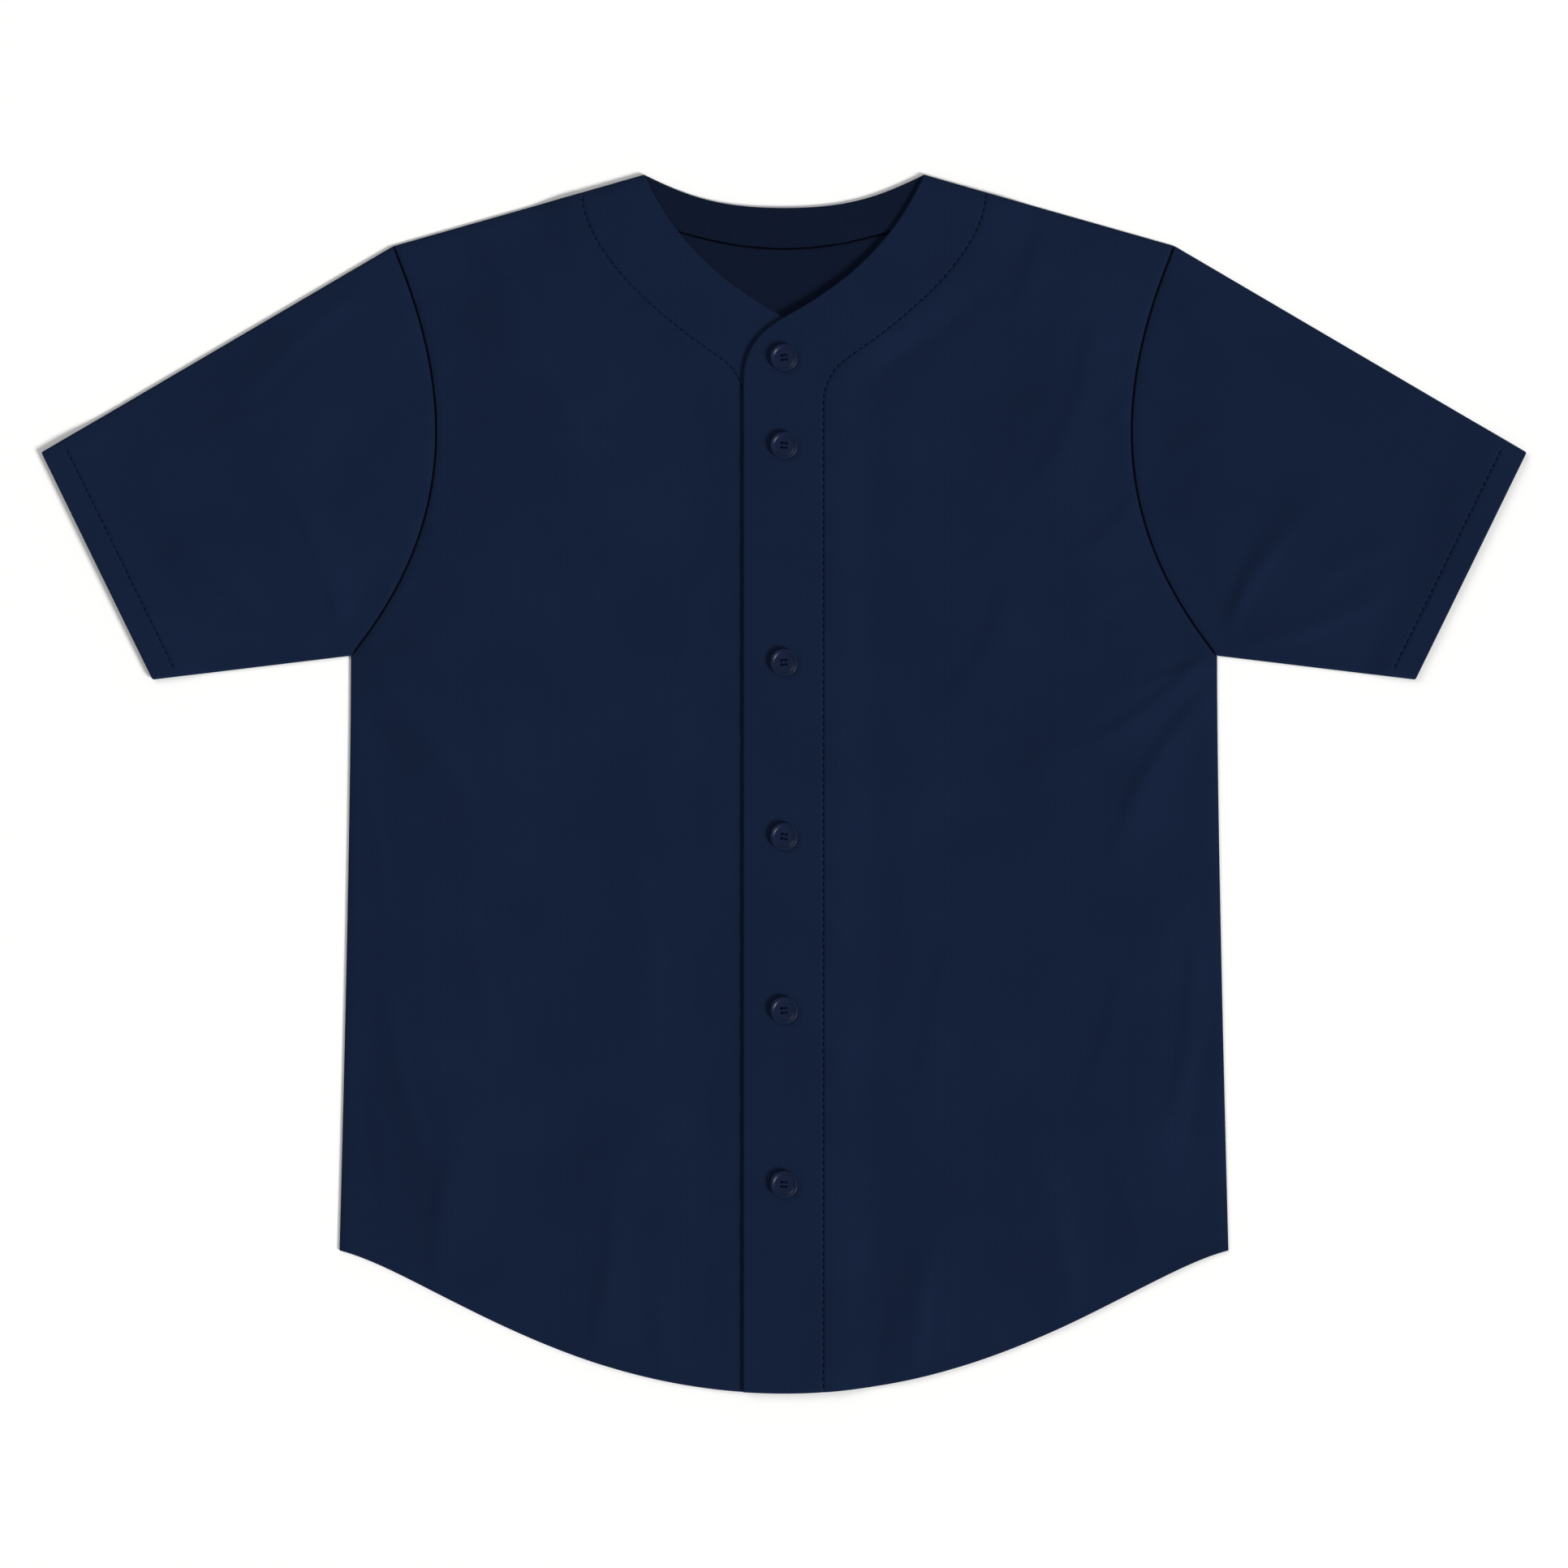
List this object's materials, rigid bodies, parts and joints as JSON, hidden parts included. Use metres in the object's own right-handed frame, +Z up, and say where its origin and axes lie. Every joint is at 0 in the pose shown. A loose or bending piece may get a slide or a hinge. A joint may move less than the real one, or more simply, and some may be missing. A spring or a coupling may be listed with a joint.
{
  "type": "baseball jersey",
  "caption": "Short-sleeved full-button baseball jersey with a collarless V neck and a shirt-tail hem, laid flat on its back.",
  "frame": {"origin": "centre of the bounding box's bottom face, on the surface that the jersey lies on", "axes": "+Z up out of the button front, +Y toward the neck, +X toward the wearer's left sleeve"},
  "size_m": [0.9798, 0.804, 0.0085],
  "materials": {
    "jersey_cloth": "matte navy polyester knit",
    "cloth_inside": "matte darker navy wrong side",
    "button": "satin navy polyester"
  },
  "bodies": {
    "root": {"back_panel": "jersey_cloth", "back_neck_facing": "cloth_inside", "front_left_panel": "jersey_cloth", "front_right_panel": "jersey_cloth", "sleeve_left": "jersey_cloth", "sleeve_right": "jersey_cloth", "button_1": "button", "button_2": "button", "button_3": "button", "button_4": "button", "button_5": "button", "button_6": "button"}
  },
  "joints": []
}
